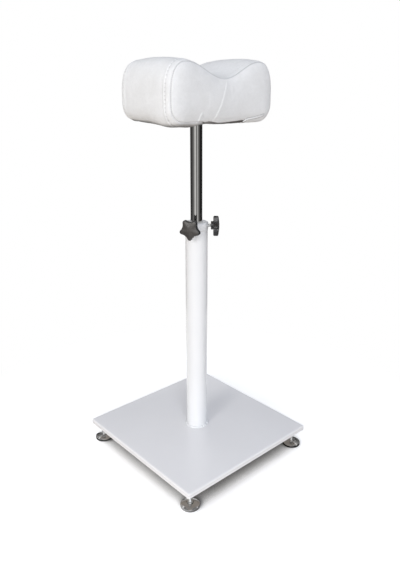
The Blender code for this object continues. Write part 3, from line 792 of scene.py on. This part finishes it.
def dress(obj, reach):
    """Seam, turned-in edge, stitch row, puckers and folds, as moves along the skin's own normals.
    For the material: painted "shade" in the seam and beside the corner fold, painted shade at the "row" of
    holes, "run" along the seam, and "cloth", painted shade below the near edge and underneath."""
    points, normals = read_points(obj.data)
    x, y, z = points.T
    near_side = y < SEAM_MIDDLE
    # Painted shade: a dark strip below the near panel's edge, and on the skin that faces down
    edge_shade = near_side * step(x, *EDGE_SHADE_X) * (1 - step(x, *EDGE_SHADE_END_X)) * step(reach, *EDGE_SHADE_REACH)
    wrapped = near_side * step(x, *WRAP_X) * (1 - step(reach, *WRAP_REACH))
    below = UNDERSIDE_SHADE * step(-normals[:, 2], *FACING_DOWN) * (reach > 0) * (1 - wrapped)
    cloth = np.maximum(edge_shade, below) * (1 - step(z, *UNDERSIDE_SHADE_TOP_Z))
    under = near_side * step(x, *UNDER_X) * (1 - step(z, *UNDER_Z))
    out = -UNDER_DEPTH * under * (1 - np.clip(np.abs(reach) / UNDER_TURN, 0, 1)) ** 2
    reach = reach - UNDER_TURN * under
    on_band, on_panel = reach > 0, reach < PANEL_REACH
    out -= SEAM_DEPTH * bell(reach, SEAM_WIDTH)
    shown = step(z, *STRIP_Z) * (1 - CALM_SHARE * step(x, *CALM_X) * step(z, *CALM_Z))
    strip = step(reach, *STRIP_REACH) * (1 - step(reach, *STRIP_END))
    run = measure_line(points[:, [0, 2]], NEAR)[1]
    stitches = np.cos(math.tau * run / STITCH_PITCH)
    out += np.where(on_band, shown * STRIP_RISE * strip, 0)
    row_depth = (ROW_DEPTH + ROW_PULL * stitches) * bell(reach - STITCH_ROW, ROW_WIDTH)
    out -= np.where(on_band, shown * row_depth, 0)
    pucker = wavering(points, PUCKER_SIZE, PUCKER_SEED)
    out += PUCKER_HEIGHT * pucker * bell(np.abs(reach) - PUCKER_REACH, PUCKER_WIDTH)
    for height, size, seed in WAVES:
        out += height * wavering(points, size, seed)
    for folds, side in ((NEAR_FOLDS, near_side), (FAR_FOLDS, ~near_side)):
        for a, b, width, height in folds:
            out += np.where(on_panel & side, fold(points, a, b, width, height), 0)
    put_points(obj, points + normals * out[:, None])
    # Painted shade for the material: grey in the seam, and at the holes of the stitch row
    top = step(x, *TOP_X) * step(z, *TOP_Z)
    shade = (SHADE_ALL + SHADE_TOP * top) * bell(reach, DARK_WIDTH)
    shade *= SHADE_LOW + SHADE_HIGH * step(z, *SHADE_Z)
    # Painted shade: dark lines on the near panel beside the corner fold
    beside = measure_line(points[:, [0, 2]], CORNER_FOLD)[0]
    lines = SHADE_FOLD * bell(beside - BESIDE_FOLD, BESIDE_WIDTH) * (near_side & on_panel)
    row = step(z, *STRIP_Z) * (1 - TOP_FAINTER * top) * bell(reach - STITCH_ROW, DARK_WIDTH)
    row = np.where(on_band, row, 0) * np.where(near_side, 1, FAR_ROW)
    for key, values in (("shade", np.maximum(shade, lines)), ("row", row), ("run", run), ("cloth", cloth)):
        put_attribute(obj, key, values)


BELOW_BOARD, ABOVE_BOARD = 0.0003, 0.0005  # gaps to the board


def close_below(obj):
    """The skin's fixed edge turns up to the board and closes round it, inside the stuffing."""
    work = bmesh.new()
    work.from_mesh(obj.data)
    edges = [e for e in work.edges if e.is_boundary]
    under = BOARD_BASE - BELOW_BOARD
    to_edge = (BOARD_X / OPENING_X, BOARD_Y / OPENING_Y)
    for z, x_share, y_share in ((under, 1, 1), (under, *to_edge), (BOARD_TOP + ABOVE_BOARD, 1, 1)):
        made = bmesh.ops.extrude_edge_only(work, edges=edges)["geom"]
        for v in (g for g in made if isinstance(g, bmesh.types.BMVert)):
            v.co.z = z
            v.co.x *= x_share
            v.co.y = SEAM_MIDDLE + (v.co.y - SEAM_MIDDLE) * y_share
        edges = [g for g in made if isinstance(g, bmesh.types.BMEdge)]
    bmesh.ops.contextual_create(work, geom=edges)
    work.to_mesh(obj.data)
    work.free()
    fix_normals(obj)
    obj.data.update()


STITCH_SIDES, STITCH_STEPS = 6, 6
STITCH_START, STITCH_LENGTH = 0.12, 0.76  # shares of the pitch
STITCH_BOW, STITCH_SINK = 0.00055, 0.00035  # rise of its middle, from its sunk ends
THREAD_RADIUS = 0.00042
THREAD_END, THREAD_SWELL = 0.45, 0.55  # shares of the radius
LOOK_AHEAD = 0.0004
STITCHES_ABOVE = 0.668  # no thread is laid below this height


def stitch_row(places, normals, travelled, name):
    """Thread stitches along a row of points, each a small bowed capsule that dips into the cover."""
    def at(table, run):
        return np.array([np.interp(run, travelled, table[:, k]) for k in range(3)])

    points, faces = [], []
    for number in range(int(travelled[0] / STITCH_PITCH) + 1, int(travelled[-1] / STITCH_PITCH)):
        begin = (number + STITCH_START) * STITCH_PITCH
        faces += tube_faces(STITCH_STEPS, STITCH_SIDES, len(points))
        for ring in range(STITCH_STEPS + 1):
            run = begin + ring / STITCH_STEPS * STITCH_PITCH * STITCH_LENGTH
            bow = math.sin(math.pi * ring / STITCH_STEPS)
            here, up = at(places, run), at(normals, run)
            up /= np.linalg.norm(up)
            across = np.cross(up, at(places, run + LOOK_AHEAD) - here)
            across /= max(np.linalg.norm(across), 1e-9)
            centre = here + up * (STITCH_BOW * bow - STITCH_SINK)
            radius = THREAD_RADIUS * (THREAD_END + THREAD_SWELL * bow)
            points += tube_ring(centre, up, across, radius, STITCH_SIDES)
    return piece(name, points, faces, THREAD, "seat")


WELT_STEPS, WELT_SIDES = 24, 8
WELT_RADIUS = 0.0013
WELT_LIFT = 0.0002  # of its axis from the panel
WELT_BEGIN, WELT_LENGTH = 0.04, 0.92  # its taper as shares of half a sine wave
FRONT_Y = -0.055  # the near panel lies in front of this
NEIGHBOURS = 6  # points of the panel under each ring


def corner_fold(cushion):
    """The edge of the cover that stands out where it is folded under."""
    place, normal = read_points(cushion.data)
    front = np.nonzero((place[:, 1] < FRONT_Y) & (normal[:, 1] < 0))[0]
    shares, knots = np.linspace(0, 1, WELT_STEPS + 1), np.linspace(0, 1, len(CORNER_FOLD))
    found = []
    for x, z in zip(*(np.interp(shares, knots, values) for values in CORNER_FOLD.T)):
        away = (place[front, 0] - x) ** 2 + (place[front, 2] - z) ** 2
        best = front[np.argsort(away)[:NEIGHBOURS]]
        found.append((np.array([x, place[best, 1].mean(), z]), normal[best].mean(0)))
    points = []
    for k, (here, up) in enumerate(found):
        forward = found[min(k + 1, WELT_STEPS)][0] - found[max(k - 1, 0)][0]
        forward /= np.linalg.norm(forward)
        up = up - forward * (up @ forward)
        up /= np.linalg.norm(up)
        wave = math.sin(math.pi * (WELT_BEGIN + WELT_LENGTH * k / WELT_STEPS))
        radius = WELT_RADIUS * math.sqrt(wave)
        points += tube_ring(here + up * WELT_LIFT, up, np.cross(forward, up), radius, WELT_SIDES)
    faces = tube_faces(WELT_STEPS, WELT_SIDES)
    welt = piece("corner_fold", points, faces, LEATHERETTE, "seat")
    fix_normals(welt)
    welt.parent = cushion


def make_cushion():
    """The stuffed cover, its two rows of stitches and the fold at its corner."""
    skin, faces, reach = cushion_skin()
    points, faces, reach = drop_loose(skin, faces, reach)
    cushion = piece("cushion", points, faces, LEATHERETTE, "seat")
    inflate(cushion, reach)
    put_attribute(cushion, "reach", reach)
    subdivide(cushion)
    reach = np.zeros(len(cushion.data.vertices), np.float32)
    cushion.data.attributes["reach"].data.foreach_get("value", reach)
    dress(cushion, reach.astype(float))
    close_below(cushion)
    shade_smooth(cushion.data)
    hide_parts("cushion_cover", "foam_core")
    place, normal = read_points(cushion.data)
    band = skin[: len(ROWS) * AROUND].reshape(len(ROWS), AROUND, 3)
    travelled = measure_line(NEAR, NEAR)[1]
    near_row = int(np.argmin(np.abs(ROWS - STITCH_ROW)))
    for name, row in (("stitches_near", near_row), ("stitches_far", len(ROWS) - 1 - near_row)):
        shown = band[row][:, 2] > STITCHES_ABOVE
        picked = [int(np.argmin(((place - p) ** 2).sum(1))) for p in band[row][shown]]
        stitches = stitch_row(place[picked], normal[picked], travelled[shown], name)
        stitches.parent = cushion
    corner_fold(cushion)


# Hard pieces that carry more detail than their solids

BEAD_AROUND, BEAD_ACROSS = 420, 10  # points
BEAD_BITE = 0.0002  # its depth in the tube and the pan
BEAD_SIZE, BEAD_LUMP, BEAD_BLOB = 0.0028, 0.0004, 0.0008
BEAD_POWER = 0.8
RIPPLE_PITCH, RIPPLE_STRAY = 0.0046, 1.1
RIPPLE_FINE, RIPPLE_COARSE, RIPPLE_MIDDLE = 0.00015, 0.0019, 0.6
RUN_END, RUN_END_WIDTH = math.radians(288), math.radians(34)  # where the welder stopped, from +X


def spot_noise(spot, fineness, seed):
    return noise.noise(spot * fineness + Vector((0, 0, seed)))


def weld_bead():
    """The lumpy fillet round the column's foot: overlapping ripples, coarse where the run ended."""
    inner, floor = COLUMN_RADIUS - BEAD_BITE, PAN_TOP - BEAD_BITE
    points, faces = [], []
    for k in range(BEAD_AROUND):
        angle = math.tau * k / BEAD_AROUND
        spot = Vector((math.cos(angle), math.sin(angle), 0))
        lump = spot_noise(spot, fineness=3, seed=4.0)
        blob = max(0.0, spot_noise(spot, fineness=7, seed=9.0))
        uneven = spot_noise(spot, fineness=5, seed=1.5)
        coarse = bell((angle - RUN_END) / RUN_END_WIDTH, 1)
        ripple = abs(math.sin(math.pi * (angle * COLUMN_RADIUS / RIPPLE_PITCH + RIPPLE_STRAY * uneven)))
        size = BEAD_SIZE + BEAD_LUMP * lump + BEAD_BLOB * blob
        size += (RIPPLE_FINE + RIPPLE_COARSE * coarse) * (ripple - RIPPLE_MIDDLE)
        ring = [(inner, floor)]
        for j in range(BEAD_ACROSS):
            turn = math.pi / 2 * j / (BEAD_ACROSS - 1)
            out, up = math.sin(turn) ** BEAD_POWER, math.cos(turn) ** BEAD_POWER
            ring.append((inner + size * out, floor + size * up))
        points += [(r * math.cos(angle), r * math.sin(angle), z) for r, z in ring]
    wide = BEAD_ACROSS + 1
    for k in range(BEAD_AROUND):
        faces += loop_faces(k * wide, (k + 1) % BEAD_AROUND * wide, wide)
    bead = piece("weld_bead", points, faces, WHITE_COAT, "base")
    fix_normals(bead)
    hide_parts("column_weld")


ROD_SIDES, ROWS_PER_TURN = 24, 8
GROOVE_HALF, GROOVE_SLOPE = 0.3125, 4  # in shares of the pitch
LEAD_IN = 0.0007  # bevel at both ends


def threaded_rod(node, body, axis, centre, pitch, depth):
    """A stud with a real helical thread, in the space of its plain solid."""
    axis = Vector(axis).normalized()
    centre = Vector(centre)
    places = [v.co - centre for v in nodes[node].data.vertices]
    along = [p.dot(axis) for p in places]
    low, high = min(along), max(along)
    radius = max((p - axis * a).length for p, a in zip(places, along))
    side = axis.orthogonal().normalized()
    other = axis.cross(side)
    rows = int((high - low) / pitch * ROWS_PER_TURN)
    points = []
    for row in range(rows + 1):
        height = low + (high - low) * row / rows
        middle = centre + axis * height
        bevel = max(0.0, LEAD_IN - min(height - low, high - height))
        for k in range(ROD_SIDES):
            angle = math.tau * k / ROD_SIDES
            phase = (height / pitch - k / ROD_SIDES) % 1
            groove = max(0.0, min(1.0, GROOVE_SLOPE * (GROOVE_HALF - abs(phase - 0.5))))
            r = radius - max(depth * groove, bevel)
            points.append(middle + side * (r * math.cos(angle)) + other * (r * math.sin(angle)))
    rod = piece(f"thread_{node}", points, tube_faces(rows, ROD_SIDES), ZINC, body)
    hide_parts(node)


make_cushion()
weld_bead()
for name, degrees in KNOB_TURNS.items():
    place = (0, 0, CLAMP_HEIGHT)
    threaded_rod(f"clamp_stud_{name}", f"clamp_{name}_stud", level_way(degrees), place, *CLAMP_THREAD)
CORNERS = [(x, y) for x in (-FOOT_REACH, FOOT_REACH) for y in (-FOOT_REACH, FOOT_REACH)]
for number, (x, y) in enumerate(CORNERS, start=1):
    threaded_rod(f"foot_stud_{number}", f"foot_{number}_stud", (0, 0, 1), (x, y, 0), *FOOT_THREAD)


# Stage, light and camera

CAMERA_PLACE = Vector((-0.68454, -0.77616, 0.72874))
CAMERA_AZIMUTH = math.radians(-41.776)
CAMERA_PITCH = math.radians(19.91)
FOCAL_PIXELS = 567.8  # focal length, in pixels of the photograph
PHOTO_HEIGHT = 570  # pixels
SENSOR = 36  # millimetres

WHITE = (1, 1, 1, 1)
WORLD_LEFT, WORLD_RIGHT, WORLD_ABOVE = (1.0, 0.985, 0.96), (0.89, 0.965, 1.10), (0.87, 0.91, 1.01)
WORLD_STRENGTH = 0.50

# Lamps: turn from the camera's side in degrees, rise, strength, spread in degrees, colour
SUNS = {
    "key_left": (-32, 0.33, 1.27, 18, (1.0, 0.980, 0.945)),
    "key_right": (13, 0.33, 1.18, 18, (0.942, 0.985, 1.055)),
    "back_left": (-138, 0.35, 0.50, 50, (1.0, 0.99, 0.975)),
    "back_right": (140, 0.35, 0.32, 50, (0.98, 0.99, 1.0)),
}

# Greys of the room that polished metal sees: turn from the camera's side in degrees, grey
LOW_TONES = [
    (-165, 0.06), (-137, 0.04), (-100, 0.05), (-74, 0.11), (-52, 0.19), (-34, 0.50), (-22, 0.74),
    (-8, 0.68), (-1, 0.21), (10, 0.13), (18, 0.52), (32, 0.58), (40, 0.12), (67, 0.08),
    (80, 0.012), (105, 0.01), (124, 0.04), (150, 0.06), (165, 0.12),
]
NEAR_TONES = [(turn, grey) for turn, grey in LOW_TONES if abs(turn) < 130]
HIGH_TONES = [
    (-125, 0.25), (-60, 0.5), (-22, 0.6), (-10, 1.8), (10, 1.8), (22, 0.5), (60, 0.3), (125, 0.15),
]

# Its surfaces: their greys, and lines round them as distance, height, share of the grey
WALL = 2.4
BACK_WALL = [(WALL, 0.95, 0.12), (WALL, 1.5, 0.2), (WALL, 1.9, 0.3), (WALL, 2.3, 0.4), (WALL, 3.4, 0.5)]
SURROUNDS = {
    "room": (LOW_TONES, [(0.75, 0.001, 1), (WALL, 0.001, 1), (WALL, 0.9, 1)]),
    "room_floor": (NEAR_TONES, [(0.15, 0.0005, 1), (0.75, 0.001, 1)]),
    "room_above": (HIGH_TONES, [(WALL, 0.9, 1), (WALL, 2.6, 1)]),
    "room_ceiling": ([(-180, 0.25), (180, 0.25)], [(0.0, 3.4, 1), (WALL, 3.4, 1)]),
    "room_back": ([(126, 1), (234, 1)], BACK_WALL),
}
SURROUND_STEP = 2.5  # degrees

FLOOR_RADIUS, FLOOR_AROUND = 12.0, 96
FLOOR_COLOUR = (0.84, 0.76, 0.66, 1)  # for the light that it throws back
FLOOR_FADE = (0.30, 0.60)  # where it turns white
# Painted shadow on the floor: its colour and glow fall where the object closes it in
SHADOW_REACH, SHADOW_SAMPLES = 0.11, 24
SHADOW_LEAN = {"X": -0.31, "Z": 0.9507}  # the way that the floor is open to light
SHADOW_RANGE = (0.28, 0.655, 0.17, 1.0)  # openness, and the floor's white for it; less white there is painted shadow
LIFT_SHARE, LIFT_OFFSET = 0.48, -0.10  # glow added to that white, which the painted shadow also dims


def make_world():
    """Soft light, warmer on the left, and a white background."""
    world = bpy.data.worlds.new("studio")
    bpy.context.scene.world = world
    world.use_nodes = True
    world.node_tree.nodes.clear()
    n = NodeWriter(world.node_tree)
    way = n.add("ShaderNodeSeparateXYZ", {0: n.add("ShaderNodeTexCoord").outputs["Generated"]}).outputs
    level = n.mix(n.ramp(way["X"], -1, 1), WORLD_LEFT, WORLD_RIGHT)
    colour = n.mix(n.ramp(way["Z"], 0, 1), level, WORLD_ABOVE)
    light = n.add("ShaderNodeBackground", {"Color": colour, "Strength": WORLD_STRENGTH})
    white = n.add("ShaderNodeBackground", {"Color": WHITE, "Strength": 1.0})
    n.add("ShaderNodeOutputWorld", {0: n.mix_shaders(n.ray_share(), light, white)})


def bare_material(name):
    material = bpy.data.materials.new(name)
    material.use_nodes = True
    material.node_tree.nodes.clear()
    return material, NodeWriter(material.node_tree)


def make_floor():
    """A pale floor that keeps the shadow, adds painted shadow and glow from its openness, fades to the white
    background, and is clear from below.
    """
    angles = [math.tau * k / FLOOR_AROUND for k in range(FLOOR_AROUND)]
    points = [(FLOOR_RADIUS * math.cos(a), FLOOR_RADIUS * math.sin(a), 0) for a in angles] + [(0, 0, 0)]
    faces = [(k, (k + 1) % FLOOR_AROUND, FLOOR_AROUND) for k in range(FLOOR_AROUND)]
    material, n = bare_material("floor")
    values = {"Distance": SHADOW_REACH, "Normal": n.add("ShaderNodeCombineXYZ", SHADOW_LEAN)}
    openness = n.add("ShaderNodeAmbientOcclusion", values, samples=SHADOW_SAMPLES).outputs["AO"]
    # Painted shadow: the floor's colour and glow follow its openness
    shadow = n.ramp(openness, *SHADOW_RANGE)
    values = {0: shadow, 1: LIFT_SHARE, 2: LIFT_OFFSET}
    lift = n.add("ShaderNodeMath", values, operation="MULTIPLY_ADD", use_clamp=True)
    lit = n.add("ShaderNodeBsdfDiffuse", {"Color": shadow})
    glow = n.add("ShaderNodeEmission", {"Color": WHITE, "Strength": lift})
    lifted = n.add("ShaderNodeAddShader", {0: lit, 1: glow})
    white = n.add("ShaderNodeEmission", {"Color": WHITE, "Strength": 1.0})
    place = n.add("ShaderNodeNewGeometry").outputs
    away = n.add("ShaderNodeVectorMath", {0: place["Position"]}, operation="LENGTH").outputs["Value"]
    seen = n.mix_shaders(n.ramp(away, *FLOOR_FADE, interpolation_type="SMOOTHSTEP"), lifted, white)
    matt = n.add("ShaderNodeBsdfDiffuse", {"Color": FLOOR_COLOUR})
    from_above = n.mix_shaders(n.ray_share(), matt, seen)
    clear = n.add("ShaderNodeBsdfTransparent")
    n.add("ShaderNodeOutputMaterial", {0: n.mix_shaders(place["Backfacing"], from_above, clear)})
    floor = piece("floor", points, faces, material)


def seen_from_camera(turn, height):
    """A direction from the object, turned to the right from the camera's side, with that rise."""
    a = CAMERA_AZIMUTH + math.radians(turn)
    return Vector((math.sin(a), -math.cos(a), height)).normalized()


def make_sun(name, turn, height, energy, spread, colour):
    data = bpy.data.lights.new(name, "SUN")
    data.energy = energy
    data.angle = math.radians(spread)
    data.color = colour
    lamp = new_object(name, data)
    lamp.rotation_euler = seen_from_camera(turn, height).to_track_quat("Z", "Y").to_euler()


def make_surround(name, shades, heights):
    """A surface of the room round the set, which only polished metal sees."""
    turns = np.arange(shades[0][0], shades[-1][0] + 0.1, SURROUND_STEP)
    points, faces, tones = [], [], []
    for turn, grey in zip(turns, np.interp(turns, *zip(*shades))):
        outward = seen_from_camera(turn, 0)
        for distance, height, share in heights:
            points.append(outward * distance + Vector((0, 0, height)))
            tones.append(grey * share)
    tall = len(heights)
    for k in range(len(turns) - 1):
        for j in range(tall - 1):
            a = k * tall + j
            faces.append((a, a + 1, a + tall + 1, a + tall))
    material, n = bare_material(name)
    n.add("ShaderNodeOutputMaterial", {0: n.add("ShaderNodeEmission", {"Strength": n.attribute("tone")})})
    card = piece(name, points, faces, material)
    put_attribute(card, "tone", tones)
    card.visible_camera = card.visible_diffuse = card.visible_shadow = card.visible_transmission = False


def make_camera():
    data = bpy.data.cameras.new("camera")
    data.sensor_width = SENSOR
    data.lens = FOCAL_PIXELS * SENSOR / PHOTO_HEIGHT
    data.clip_start = 0.01
    data.clip_end = 100
    camera = new_object("camera", data)
    camera.location = CAMERA_PLACE
    camera.rotation_euler = (math.pi / 2 - CAMERA_PITCH, 0, CAMERA_AZIMUTH)
    bpy.context.scene.camera = camera


make_world()
make_floor()
for name, values in SUNS.items():
    make_sun(name, *values)
for name, values in SURROUNDS.items():
    make_surround(name, *values)
make_camera()
bpy.context.scene.view_settings.view_transform = "Standard"
